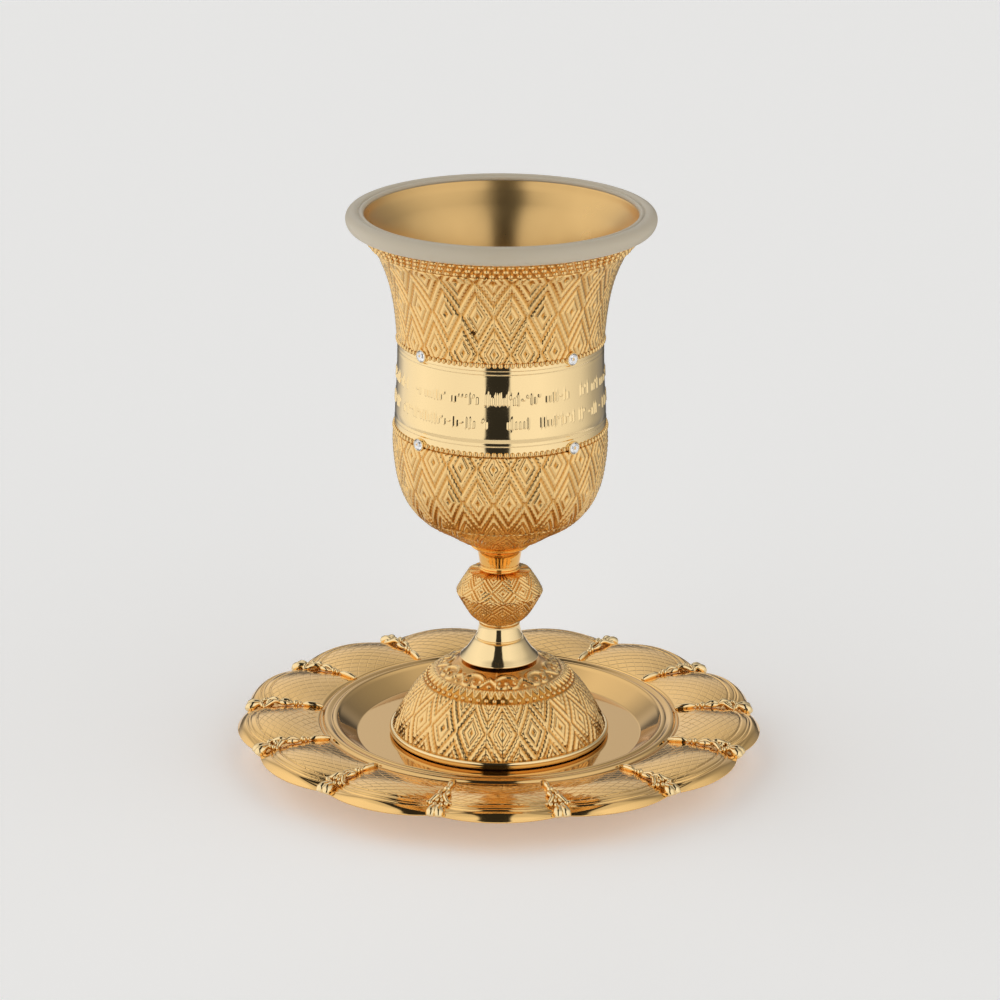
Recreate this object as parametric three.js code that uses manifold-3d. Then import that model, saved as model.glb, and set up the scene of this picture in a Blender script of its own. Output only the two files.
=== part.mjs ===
// A stemmed cup for blessed wine, standing loose in the well of its own petalled saucer.
// Units are millimetres and +Z is up. The origin is on the table, under the middle of the saucer.
// Turns are in degrees, counted from the front (-Y) towards the right (+X).
import * as THREE from "three";
import Module from "manifold-3d";
import { mergeVertices } from "three/addons/utils/BufferGeometryUtils.js";

const wasm = await Module();
wasm.setup();

// Driving sizes of the whole set
const FULL_HEIGHT = 145;
const SAUCER_RADIUS = 67.5;
const GAP = 0.3; // left between pieces that touch

// Saucer
const PETALS = 13;
const SCALLOP_DEPTH = 2.9; // how far the rim draws in beside a rib
const PETAL_START = 46;
const PETAL_CROWN = 1.7; // how far a petal's middle stands over the valleys at its ribs
const SHEET = 1.4;
const WELL_FLOOR = 6.05;
const WELL_RADIUS = 36.7;
const FOOT_RING_OUTER = 36;
const FOOT_RING_INNER = 33;

// Cup
const CUP_BASE = WELL_FLOOR + GAP;
const CUP_COLUMNS = 20; // diamonds round the sleeve
const CUP_FIRST_DIAMOND = 5.6;
const FOOT_COLUMNS = 19; // diamonds round the foot
const FOOT_FIRST_DIAMOND = 2.2;
const KNOP_COLUMNS = 11;
const KNOP_FIRST_DIAMOND = 5;
const ROW_PITCH = 9.85; // from one row of diamonds to the next, along the sleeve
const RELIEF = 0.6; // depth of the diamond embossing
const BEAD = 0.45; // how far a row of beads stands proud
const SLEEVE_WALL = 1.4;
const LINER_WALL = 0.8;
const BAND_LOW = 91;
const BAND_HIGH = 110.4;
const LOW_BEADS = 89.2;
const HIGH_BEADS = 111.9;
const STONES_ROUND = 4;
const FIRST_STONE = 42;
const STONE_RADIUS = 1.15;
const BEZEL_RADIUS = 1.75;
const RIM_CENTRE = 36.82;
const RIM_THICKNESS = 2.02;

const gold = { metalness: 1, roughness: 0.3 };
const embossed = new THREE.MeshStandardMaterial({ color: 0xe5b060, ...gold });
const satin = new THREE.MeshStandardMaterial({ color: 0xc9a66b, ...gold });
const polished = new THREE.MeshStandardMaterial({ color: 0xf2d08a, metalness: 1, roughness: 0.12 });
const milky = new THREE.MeshStandardMaterial({ color: 0xc9c1b0, roughness: 0.45 });
const crystal = new THREE.MeshStandardMaterial({ color: 0xf4f6f8, roughness: 0.05 });

// A point at a turn, a distance from the axis and a height.
function pointAt(turn, radius, height) {
  const angle = THREE.MathUtils.degToRad(turn);
  return { turn, x: radius * Math.sin(angle), y: -radius * Math.cos(angle), z: height };
}

// A ring of evenly spaced points. place(turn, i) gives a point's radius and height.
function ring(count, firstTurn, place) {
  return Array.from({ length: count }, (_, i) => {
    const turn = firstTurn + (360 * i) / count;
    const [radius, height] = place(turn, i);
    return pointAt(turn, radius, height);
  });
}

// Plain rings through an outline's [radius, height] points.
function turned(count, firstTurn, outline) {
  return outline.map(([radius, height]) => ring(count, firstTurn, () => [radius, height]));
}

// A ring of one point, which closes a skin on the axis.
function tip(height) {
  return [pointAt(0, 0, height)];
}

// Triangles between two rings. The ring whose next point comes first moves on. Where both come
// together, the diagonal joins the points whose row and column add up to an even number.
function stitch(lower, upper, row, triangles) {
  const turnAt = (points, i) => points[0].turn + (i < points.length ? points[i].turn - points[0].turn : 360);
  let i = 0;
  let j = 0;
  const last = (points) => (points.length === 1 ? 0 : points.length);
  while (i < last(lower) || j < last(upper)) {
    const nextLower = i < last(lower) ? turnAt(lower, i + 1) : Infinity;
    const nextUpper = j < last(upper) ? turnAt(upper, j + 1) : Infinity;
    const tied = Math.abs(nextLower - nextUpper) < 1e-6;
    const lowerMoves = tied ? (i + row) % 2 !== 0 : nextLower < nextUpper;
    const a = lower[i % lower.length];
    const b = upper[j % upper.length];
    if (lowerMoves) {
      triangles.push([a, lower[(i + 1) % lower.length], b]);
      i += 1;
    } else {
      triangles.push([a, upper[(j + 1) % upper.length], b]);
      j += 1;
    }
  }
}

// A closed skin through rings, from one end of the piece to the other, or round and back to the
// first ring when loop is true. Its faces point out whichever way the rings run.
function skin(rings, loop = false) {
  const triangles = [];
  const pairs = loop ? rings.length : rings.length - 1;
  for (let k = 0; k < pairs; k += 1) {
    stitch(rings[k], rings[(k + 1) % rings.length], k, triangles);
  }
  const vertices = triangles.map((corners) => corners.map((p) => new THREE.Vector3(p.x, p.y, p.z)));
  const volume = vertices.reduce((sum, [a, b, c]) => sum + a.dot(b.clone().cross(c)) / 6, 0);
  const facing = volume < 0 ? vertices.map(([a, b, c]) => [a, c, b]) : vertices;
  return new THREE.BufferGeometry().setFromPoints(facing.flat());
}

// A smooth line through an outline's points, read by its length from the first one.
function smooth(outline) {
  const points = outline.map(([radius, height]) => new THREE.Vector3(radius, 0, height));
  const curve = new THREE.CatmullRomCurve3(points, false, "centripetal");
  curve.arcLengthDivisions = 600;
  const length = curve.getLength();
  const clamp = (s) => THREE.MathUtils.clamp(s / length, 0, 1);
  return {
    length,
    // The point a distance along the line, moved outwards along the line's normal.
    at(s, out = 0) {
      const p = curve.getPointAt(clamp(s));
      const t = curve.getTangentAt(clamp(s));
      return [p.x + out * t.z, p.z - out * t.x];
    },
    // The length at which the line passes a height. The outline rises all the way.
    lengthAtHeight(height) {
      let low = 0;
      let high = length;
      for (let step = 0; step < 40; step += 1) {
        const middle = (low + high) / 2;
        if (curve.getPointAt(clamp(middle)).z < height) low = middle;
        else high = middle;
      }
      return low;
    },
  };
}

// Depth of the diamond embossing at a grid point. Columns and rows are counted in quarter
// diamonds from a diamond's middle: even sums lie on a boss or a ridge, odd ones in a groove.
function diamondDepth(column, row) {
  return (column + row) % 2 === 0 ? 0 : -RELIEF;
}

// Rings of diamond embossing over a line, from one length to another in half-cell steps.
// rowOffset is the grid row of the first ring, counted from a row of diamond middles.
function diamondRings(line, lengths, columns, firstTurn, rowOffset) {
  return lengths.map((s, k) =>
    ring(columns * 4, firstTurn, (turn, i) => line.at(s, diamondDepth(i, k + rowOffset))),
  );
}

function solid(geometry) {
  const bare = geometry.clone();
  for (const name of Object.keys(bare.attributes)) {
    if (name !== "position") bare.deleteAttribute(name);
  }
  const merged = mergeVertices(bare, 1e-4);
  return new wasm.Manifold(
    new wasm.Mesh({
      numProp: 3,
      vertProperties: merged.attributes.position.array,
      triVerts: new Uint32Array(merged.index.array),
    }),
  );
}

function geometryOf(manifold) {
  const mesh = manifold.getMesh();
  return new THREE.BufferGeometry()
    .setAttribute("position", new THREE.BufferAttribute(mesh.vertProperties, 3))
    .setIndex(new THREE.BufferAttribute(mesh.triVerts, 1));
}

const set = new THREE.Group();

function addPiece(name, geometry, material) {
  const flat = geometry.index ? geometry.toNonIndexed() : geometry;
  flat.computeVertexNormals();
  const mesh = new THREE.Mesh(flat, material);
  mesh.name = name;
  set.add(mesh);
  return mesh;
}

// Half the width of a rib at a distance from the axis: a rod, a leaf, a bow and a tassel.
function ribHalfWidth(radius) {
  if (radius < 52) return 1;
  if (radius < 57) return 1.4;
  if (radius < 62) return 4.2;
  return 2.5;
}

// How far a rib's back stands over the valley that it lies in.
function ribHeight(radius) {
  if (radius < 52) return 0.9;
  if (radius < 57) return 1.2;
  return 1.9;
}

// The saucer's rim is scalloped. across is 0 in a petal's middle and 1 at a rib.
function rimRadius(across) {
  return SAUCER_RADIUS - SCALLOP_DEPTH * across ** 2.1;
}

const petalCrown = smooth([
  [0, 9.7],
  [10.5, 11.6],
  [16, 11.3],
  [19, 10.6],
  [20.4, 9.9],
  [21.5, 8.6],
]);

// Rings of the petals' upper side. along runs from 0 at the raised ring to 1 at the rim.
function petalRing(along) {
  const halfPetal = 180 / PETALS;
  const points = [];
  for (let petal = 0; petal < PETALS; petal += 1) {
    const ribTurn = (petal + 0.5) * 2 * halfPetal;
    const crown = petalCrown.at(along * petalCrown.length);
    const radius = PETAL_START + crown[0];
    const foot = THREE.MathUtils.radToDeg(ribHalfWidth(radius) / radius);
    const shoulder = (foot + halfPetal) / 2 - 1;
    const turns = [0, foot, shoulder, halfPetal, 2 * halfPetal - shoulder, 2 * halfPetal - foot];
    for (const fromRib of turns) {
      const across = Math.abs(halfPetal - fromRib) / halfPetal;
      const onRib = fromRib === 0;
      const reach = onRib ? SAUCER_RADIUS : rimRadius(across);
      const stretch = (reach - PETAL_START) / (SAUCER_RADIUS - PETAL_START);
      const valley = PETAL_CROWN * across ** 2 * Math.min(1, crown[0] / 10);
      const edge = Math.min(1, Math.max(0, (1 - along) / 0.12));
      const rib = onRib ? ribHeight(radius) * (0.35 + 0.65 * edge) : 0;
      const height = crown[1] - valley * edge + rib;
      points.push(pointAt(ribTurn + fromRib, PETAL_START + crown[0] * stretch, height));
    }
  }
  return points;
}

function makeSaucer() {
  const halfPetal = 180 / PETALS;
  const topRings = [0, 0.24, 0.45, 0.6, 0.76, 0.93, 1].map(petalRing);
  const underRim = topRings.at(-1).map((p) => {
    const radius = Math.hypot(p.x, p.y) - 0.5;
    return pointAt(p.turn, radius, 8.2);
  });
  const well = turned(PETALS * 3, halfPetal, [
    [WELL_RADIUS, WELL_FLOOR],
    [41.3, 9.7],
    [42.2, 10.4],
    [43.2, 10.05],
    [44.4, 10.35],
  ]);
  const under = turned(PETALS * 3, halfPetal, [
    [62, 9.7 - SHEET / 2],
    [43, 9.8 - SHEET],
    [FOOT_RING_OUTER + 0.6, WELL_FLOOR - SHEET],
    [FOOT_RING_OUTER, 0],
    [FOOT_RING_INNER, 0],
    [FOOT_RING_INNER - 0.6, WELL_FLOOR - SHEET],
  ]);
  return skin([tip(WELL_FLOOR), ...well, ...topRings, underRim, ...under, tip(WELL_FLOOR - SHEET)]);
}

// The foot's outline, from the rolled edge up to the cone.
const footLine = smooth([
  [27.6, 8],
  [26.3, 11],
  [24, 15],
  [21.2, 19],
  [17, 23],
  [13, 25],
  [10.1, 26.3],
]);

function makeFoot() {
  const phase = FOOT_FIRST_DIAMOND;
  const few = FOOT_COLUMNS * 2;
  const inside = turned(few / 2, phase, [
    [12, 22.8],
    [21.6, 15.5],
    [25.6, 8],
  ]);
  const edge = turned(few, phase, [
    [26.4, CUP_BASE],
    [28.2, CUP_BASE],
    [28.3, 7.1],
  ]);
  const firstRow = 0.4;
  const rowStep = 3.8;
  const lengths = [0, 1, 2, 3, 4].map((k) => firstRow + k * rowStep);
  const row = inside.length + edge.length + 1;
  const diamonds = diamondRings(footLine, lengths, FOOT_COLUMNS, phase, row);
  // Above the diamonds: a row of beads, a row of tongues, and a ring of scrolls under the cone
  const steps = [10.3, 9, 6.8, 4, 1.3, 0];
  const upper = steps.map((fromCone, k) =>
    ring(few, phase, () => footLine.at(footLine.length - fromCone, k % 2 === 0 ? 0 : -RELIEF)),
  );
  return skin([tip(24.2), ...inside, ...edge, ...diamonds, ...upper, tip(26.3)]);
}

function makeLowerStem() {
  const start = 26.3 + GAP;
  return skin([
    tip(start),
    ...turned(24, 0, [
      [10.1, start],
      [6.5, 31.6],
      [5.8, 31.95],
      [6.0, 32.3],
      [5.4, 34.2],
      [5.25, 35.7],
      [5.5, 36.5],
    ]),
    tip(36.5),
  ]);
}

const knopLine = smooth([
  [5.9, 36.8],
  [8.8, 40.2],
  [11.14, 44.7],
  [9.4, 47.8],
  [7.7, 50.2],
]);

function makeKnop() {
  const equator = knopLine.lengthAtHeight(44.7);
  const lower = [0, 1, 2].map((k) => (equator * k) / 3);
  const upper = [0, 1, 2, 3].map((k) => equator + ((knopLine.length - equator) * k) / 3);
  const rings = diamondRings(knopLine, [...lower, ...upper], KNOP_COLUMNS, KNOP_FIRST_DIAMOND, 1);
  return skin([tip(36.8), ...rings, tip(50.2)]);
}

function makeUpperStem() {
  return skin([
    tip(50.2 + GAP),
    ...turned(24, 0, [
      [5.4, 50.5],
      [5.1, 51.4],
      [5.3, 53.4],
      [5.9, 55.8],
      [7.4, 56.7],
      [7.6, 57.2],
    ]),
    tip(57.2),
  ]);
}

// The sleeve's outline, over the tops of its embossing.
const sleeveLine = smooth([
  [6.2, 57.5],
  [9.9, 58.7],
  [14.8, 61.7],
  [19.8, 64.7],
  [23.7, 69.2],
  [25.8, 74.2],
  [26.9, 80.2],
  [27.25, 85.7],
  [26.8, 92],
  [26.1, 107],
  [26.2, 113],
  [27.2, 122],
  [28.7, 128.2],
  [31.2, 134.2],
  [33.9, 138],
  [36.3, 140.5],
]);

// Heights at which the sleeve's inside and the liner are drawn, so that they run side by side.
const LINED_HEIGHTS = [70, 77, 120, 130, 136.5];

// The diamonds' grid steps, a quarter of a diamond's full height apart.
const ROW_STEP = ROW_PITCH / 2;

// A bezel is a short turned cup that stands out of the sleeve, and a stone sits in its pocket.
function stonePlace(turn, height) {
  const angle = THREE.MathUtils.degToRad(turn);
  const radius = sleeveLine.at(sleeveLine.lengthAtHeight(height))[0];
  const outwards = new THREE.Vector3(Math.sin(angle), -Math.cos(angle), 0);
  const turnOutwards = new THREE.Quaternion().setFromUnitVectors(new THREE.Vector3(0, 1, 0), outwards);
  const middle = outwards.clone().multiplyScalar(radius).setZ(height);
  return new THREE.Matrix4().compose(middle, turnOutwards, new THREE.Vector3(1, 1, 1));
}

function stonePlaces() {
  const places = [];
  for (const height of [HIGH_BEADS, LOW_BEADS]) {
    for (let k = 0; k < STONES_ROUND; k += 1) {
      places.push(stonePlace(FIRST_STONE + (360 / STONES_ROUND) * k, height));
    }
  }
  return places;
}

function makeSleeve() {
  const phase = CUP_FIRST_DIAMOND;
  const few = 24;
  const lowRow = sleeveLine.lengthAtHeight(85.6);
  const lowLengths = [5, 4, 3, 2, 1, 0].map((k) => lowRow - k * ROW_STEP);
  const beaded = (height) => [
    [height - 0.8, -RELIEF],
    [height, BEAD - RELIEF],
    [height + 0.8, -RELIEF],
  ];
  const band = [
    [BAND_LOW + 0.5, -0.1],
    [BAND_LOW + 1.2, -0.4],
    [BAND_LOW + 1.9, -0.1],
    [BAND_HIGH - 1.9, -0.1],
    [BAND_HIGH - 1.2, -0.4],
    [BAND_HIGH - 0.5, -0.1],
  ];
  const plain = [...beaded(LOW_BEADS), ...band, ...beaded(HIGH_BEADS)].map(([height, out]) =>
    ring(few, phase, () => sleeveLine.at(sleeveLine.lengthAtHeight(height), out)),
  );
  const highRow = sleeveLine.lengthAtHeight(114.8);
  const highLengths = [0, 1, 2, 3, 4].map((k) => highRow + k * ROW_STEP);
  const lip = [
    [135.1, -RELIEF],
    [136.6, 0],
    [140.4, 0],
  ].map(([height, out]) =>
    ring(few, phase, () => sleeveLine.at(sleeveLine.lengthAtHeight(height), out)),
  );
  const low = diamondRings(sleeveLine, lowLengths, CUP_COLUMNS, phase, 3);
  const row = low.length + plain.length + 3;
  const high = diamondRings(sleeveLine, highLengths, CUP_COLUMNS, phase, row);
  const inside = [140, ...LINED_HEIGHTS.toReversed(), 63].map((height) =>
    ring(few, phase, () => sleeveLine.at(sleeveLine.lengthAtHeight(height), -SLEEVE_WALL)),
  );
  const base = 57.2 + GAP;
  const bottom = turned(few, phase, [
    [6.6, base],
    sleeveLine.at(sleeveLine.lengthAtHeight(60.5), 0),
  ]);
  const rings = [tip(base), ...bottom, ...low, ...plain, ...high, ...lip, ...inside, tip(60.4)];
  let sleeve = solid(skin(rings));
  const bezel = new THREE.CylinderGeometry(BEZEL_RADIUS - 0.3, BEZEL_RADIUS, 1, 6);
  const pocket = new THREE.CylinderGeometry(STONE_RADIUS + 0.12, STONE_RADIUS + 0.12, 1, 6);
  pocket.translate(0, 0.25, 0);
  for (const place of stonePlaces()) {
    sleeve = sleeve.add(solid(bezel.clone().applyMatrix4(place)));
    sleeve = sleeve.subtract(solid(pocket.clone().applyMatrix4(place)));
  }
  return geometryOf(sleeve);
}

function makeLiner() {
  const out = -(SLEEVE_WALL + GAP + 0.2);
  const at = (height, depth) => sleeveLine.at(sleeveLine.lengthAtHeight(height), depth);
  const lip = [
    [34.1, 141.1],
    [34.8, 143.4],
    [34.1, 143.5],
  ];
  const outside = [[16, 65.5], ...LINED_HEIGHTS.map((h) => at(h, out)), ...lip];
  const inside = LINED_HEIGHTS.toReversed().map((h) => at(h, out - LINER_WALL));
  const rings = turned(24, 0, [...outside, ...inside, [15.4, 66.5]]);
  return skin([tip(64.3), ...rings, tip(65.3)]);
}

// The soft ring's section: a round bulge, and a small bead that laps over the liner's lip.
function makeRimRing() {
  const centre = FULL_HEIGHT - RIM_THICKNESS;
  const bulge = [-115, -60, 0, 60, 115].map((degrees) => {
    const angle = THREE.MathUtils.degToRad(degrees);
    return [RIM_CENTRE + RIM_THICKNESS * Math.cos(angle), centre + RIM_THICKNESS * Math.sin(angle)];
  });
  const bead = [
    [35.1, 144.3],
    [35.3, 142.9],
  ];
  return skin(turned(34, 0, [...bulge, ...bead]), true);
}

// A round brilliant: flat table, sloping crown, girdle and pointed back.
function makeStone() {
  const outline = [
    [0, -0.15],
    [STONE_RADIUS, 0.25],
    [0.62 * STONE_RADIUS, 0.65],
    [0, 0.65],
  ];
  return new THREE.LatheGeometry(outline.map(([r, h]) => new THREE.Vector2(r, h)), 6);
}

addPiece("saucer", makeSaucer(), satin);
addPiece("foot", makeFoot(), embossed);
addPiece("lower_stem", makeLowerStem(), polished);
addPiece("knop", makeKnop(), embossed);
addPiece("upper_stem", makeUpperStem(), polished);
addPiece("sleeve", makeSleeve(), embossed);
addPiece("liner", makeLiner(), satin);
addPiece("rim_ring", makeRimRing(), milky);
stonePlaces().forEach((place, i) => {
  const stone = addPiece("stone_" + (i + 1), makeStone(), crystal);
  stone.applyMatrix4(place);
});

export default set;
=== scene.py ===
# %% [markdown]
# # A gold plated blessing cup in its petalled saucer
#
# The cup is a stack of turned and cast pieces: a domed foot, a cone, a knop, a short neck, an
# embossed sleeve, and a thin liner that holds the wine. It stands loose in the mirror well of a
# saucer with thirteen petals. The construction comes ready made, at its real size, and this
# lesson dresses it: every piece is drawn again as a fine mesh with the relief that the
# goldsmith's die leaves, and gets a finish of its own.

import math

import bpy
import numpy as np
from mathutils import Matrix


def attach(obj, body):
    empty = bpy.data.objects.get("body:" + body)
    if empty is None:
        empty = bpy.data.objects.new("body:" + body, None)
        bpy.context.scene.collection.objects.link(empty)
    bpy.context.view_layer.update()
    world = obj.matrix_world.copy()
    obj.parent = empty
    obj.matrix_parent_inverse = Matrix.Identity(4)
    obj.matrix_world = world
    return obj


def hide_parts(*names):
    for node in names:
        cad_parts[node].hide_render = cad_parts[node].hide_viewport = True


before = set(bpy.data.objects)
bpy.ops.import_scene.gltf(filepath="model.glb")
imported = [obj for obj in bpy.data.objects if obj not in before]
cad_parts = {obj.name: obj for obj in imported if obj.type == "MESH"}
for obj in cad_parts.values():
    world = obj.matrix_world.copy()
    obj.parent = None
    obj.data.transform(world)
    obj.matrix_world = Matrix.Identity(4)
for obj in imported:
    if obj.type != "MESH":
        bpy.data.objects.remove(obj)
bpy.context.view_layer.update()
print("pieces of the construction:", ", ".join(sorted(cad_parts)))

# %% [markdown]
# ## Lines, rings and skins
#
# Nearly everything here is a body of revolution, so one way of drawing serves them all. A piece
# starts as a line of (radius, height) points, which a spline rounds off. The line is swept round
# the axis as a grid of points, and a relief pushes the points in or out along the line's
# normal. A modifier could do the sweep, but the relief has to know the turn and the length along
# the line of every point, so the grid is worked out with arrays.

# %% Smooth lines through a few measured points
MM = 0.001


def smooth_line(outline):
    """A centripetal spline through (radius, height) points, as lengths, radii, heights."""
    p = np.array(outline, float)
    p = np.vstack([2 * p[0] - p[1], p, 2 * p[-1] - p[-2]])
    knots = np.concatenate([[0], np.cumsum(np.linalg.norm(np.diff(p, axis=0), axis=1) ** 0.5)])
    parts = []
    for k in range(1, len(p) - 2):
        t = np.linspace(knots[k], knots[k + 1], 80, endpoint=False)[:, None]

        def between(a, b, low, high):
            return (a * (high - t) + b * (t - low)) / (high - low)

        first = between(p[k - 1], p[k], knots[k - 1], knots[k])
        second = between(p[k], p[k + 1], knots[k], knots[k + 1])
        third = between(p[k + 1], p[k + 2], knots[k + 1], knots[k + 2])
        left = between(first, second, knots[k - 1], knots[k + 1])
        right = between(second, third, knots[k], knots[k + 2])
        parts.append(between(left, right, knots[k], knots[k + 1]))
    points = np.vstack([*parts, p[-2][None]])
    lengths = np.concatenate([[0], np.cumsum(np.linalg.norm(np.diff(points, axis=0), axis=1))])
    return {"length": lengths, "radius": points[:, 0], "height": points[:, 1]}


def length_at(line, height):
    return float(np.interp(height, line["height"], line["length"]))


def on_line(line, length, out=0.0):
    """Radius and height at a length along a rising line, moved out along its normal."""
    radius = np.interp(length, line["length"], line["radius"])
    height = np.interp(length, line["length"], line["height"])
    ahead = np.clip(np.asarray(length, float) + 0.2, 0, line["length"][-1])
    back = np.clip(np.asarray(length, float) - 0.2, 0, line["length"][-1])
    across = np.interp(ahead, line["length"], line["radius"])
    across = across - np.interp(back, line["length"], line["radius"])
    up = np.interp(ahead, line["length"], line["height"])
    up = up - np.interp(back, line["length"], line["height"])
    size = np.hypot(across, up)
    return radius + out * up / size, height - out * across / size


# %% Grids of points become closed meshes
def turns_of(count, first=0.0):
    """Evenly spaced turns in degrees, counted from the front towards the right."""
    return first + 360.0 * np.arange(count) / count


def spun(radius, height, turns):
    """Points in millimetres for rows of radii and heights, swept through the turns."""
    angle = np.radians(turns)
    radius = np.broadcast_to(np.asarray(radius, float), np.shape(height + angle * 0))
    height = np.broadcast_to(np.asarray(height, float), radius.shape)
    return np.stack([radius * np.sin(angle), -radius * np.cos(angle), height], -1)


def plain_rows(outline, turns):
    """Rows of points for an outline with no relief."""
    return np.stack([spun(radius, height, turns) for radius, height in outline])


def round_skin(rows, closed=False, rising=None):
    """Corners and triangles of a skin through rows of points that run round the axis.

    The first and the last row are drawn together to a point on the axis, or joined to each
    other when closed is true. rising says which way each cell's diagonal runs.
    """
    rows = np.asarray(rows, float)
    count, columns = rows.shape[:2]
    corners = rows.reshape(-1, 3)
    number = np.arange(count * columns).reshape(count, columns)
    lower = number if closed else number[:-1]
    upper = np.roll(number, -1, 0) if closed else number[1:]
    a, b = lower, np.roll(lower, -1, 1)
    d, c = upper, np.roll(upper, -1, 1)
    if rising is None:
        rising = np.ones(a.shape, bool)
    first = np.where(rising[..., None], np.stack([a, b, c], -1), np.stack([a, b, d], -1))
    second = np.where(rising[..., None], np.stack([a, c, d], -1), np.stack([b, c, d], -1))
    triangles = [first.reshape(-1, 3), second.reshape(-1, 3)]
    if not closed:
        ends = np.stack([rows[0].mean(0), rows[-1].mean(0)])
        low, high = len(corners), len(corners) + 1
        corners = np.vstack([corners, ends])
        edge = number[0]
        triangles.append(np.stack([np.roll(edge, -1), edge, np.full(columns, low)], -1))
        edge = number[-1]
        triangles.append(np.stack([edge, np.roll(edge, -1), np.full(columns, high)], -1))
    return corners, np.vstack(triangles)


def joined(parts):
    """Several skins as one."""
    corners, triangles, start = [], [], 0
    for points, faces in parts:
        corners.append(points)
        triangles.append(faces + start)
        start += len(points)
    return np.vstack(corners), np.vstack(triangles)


made_triangles = {}


def make_piece(name, skin, finish, stands_for=None, flat=False, raised=None):
    """A mesh object from a skin in millimetres, riding with the cup's only body.

    raised says for each corner how far it stands out of the grooves, from 0 to 1; the embossed finish
    paints shade into its colour by it.
    """
    corners, triangles = skin
    a, b, c = (corners[triangles[:, k]] for k in range(3))
    if np.einsum("ij,ij->i", a, np.cross(b, c)).sum() < 0:
        triangles = triangles[:, ::-1]
    mesh = bpy.data.meshes.new(name)
    mesh.vertices.add(len(corners))
    mesh.vertices.foreach_set("co", (corners * MM).astype(np.float32).ravel())
    mesh.loops.add(triangles.size)
    mesh.loops.foreach_set("vertex_index", triangles.astype(np.int32).ravel())
    mesh.polygons.add(len(triangles))
    mesh.polygons.foreach_set("loop_start", np.arange(0, triangles.size, 3, dtype=np.int32))
    mesh.update(calc_edges=True)
    mesh.polygons.foreach_set("use_smooth", np.full(len(triangles), not flat))
    mesh.materials.append(finish)
    heights = np.ones(len(corners), np.float32)
    if raised is not None:
        heights[: raised.size] = raised.ravel()
    mesh.attributes.new("raised", "FLOAT", "POINT").data.foreach_set("value", heights)
    piece = bpy.data.objects.new(name, mesh)
    bpy.context.scene.collection.objects.link(piece)
    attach(piece, "root")
    if stands_for:
        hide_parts(*stands_for)
    made_triangles[name] = len(triangles)
    print(f"{name}: {len(triangles)} triangles")
    return piece


# %% [markdown]
# ## Finishes
#
# The whole set is brass and zinc plated with a thin coat of gold, so one metal serves it all and
# only the surface differs: polished on a wheel, brushed, spun, or left as the die struck it. A
# metal has no colour of its own beside what it mirrors, so its colour sets the tint of the
# reflections, and its roughness says how far they smear.

# %% Colours and nodes
def linear(hex_colour):
    """sRGB hex to the linear colour that the shader wants."""
    values = [int(hex_colour[k : k + 2], 16) / 255 for k in (1, 3, 5)]
    return [v / 12.92 if v <= 0.04045 else ((v + 0.055) / 1.055) ** 2.4 for v in values] + [1.0]


def add_node(tree, kind, settings=None, values=None, links=None):
    """Adds a node, sets its properties and input values, and links other nodes to its inputs.

    A link comes from an output, or from a node, which then gives its first output in use.
    """
    node = tree.nodes.new("ShaderNode" + kind)
    for key, value in (settings or {}).items():
        setattr(node, key, value)
    for key, value in (values or {}).items():
        node.inputs[key].default_value = value
    for key, source in (links or {}).items():
        if isinstance(source, bpy.types.Node):
            source = next(output for output in source.outputs if output.enabled)
        tree.links.new(source, node.inputs[key])
    return node


def new_finish(name, colour, roughness, metallic=1.0):
    """A material with its shader, and the shader."""
    finish = bpy.data.materials.new(name)
    finish.use_nodes = True
    shader = finish.node_tree.nodes["Principled BSDF"]
    shader.inputs["Base Color"].default_value = linear(colour)
    shader.inputs["Metallic"].default_value = metallic
    shader.inputs["Roughness"].default_value = roughness
    return finish, shader


def mottled(finish, shader, low, high, size_mm):
    """Lets the roughness wander between two limits over patches of a real size."""
    tree = finish.node_tree
    place = add_node(tree, "TexCoord")
    noise = add_node(tree, "TexNoise", {}, {"Scale": 1000.0 / size_mm, "Detail": 3.0},
                     {"Vector": place.outputs["Object"]})
    limits = {"From Min": 0.3, "From Max": 0.7, "To Min": low, "To Max": high}
    spread = add_node(tree, "MapRange", {}, limits, {"Value": noise})
    tree.links.new(spread.outputs["Result"], shader.inputs["Roughness"])


# %% [markdown]
# Polished gold plate: brass buffed on a cotton wheel and then plated. It mirrors the room almost
# sharply. The wheel leaves hairlines too fine to see, and here and there a softer patch, so the
# roughness wanders a little over patches of about six millimetres.

# %% Polished gold plate
def polished_gold_plate(name, colour):
    finish, shader = new_finish(name, colour, 0.07)
    mottled(finish, shader, 0.05, 0.1, 6.0)
    return finish


polished = polished_gold_plate("polished gold plate", "#F8DBA4")
# The saucer comes from another bath, and its gold is duller and a little redder
saucer_polished = polished_gold_plate("polished saucer plate", "#DFB677")
# Knop and bowl screen the neck, which mirrors mostly gold, so its plate is painted a deeper gold: a
# painted reflection
neck_plate_painted_reflection = polished_gold_plate("polished neck plate with painted reflection", "#FAC06A")
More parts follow.
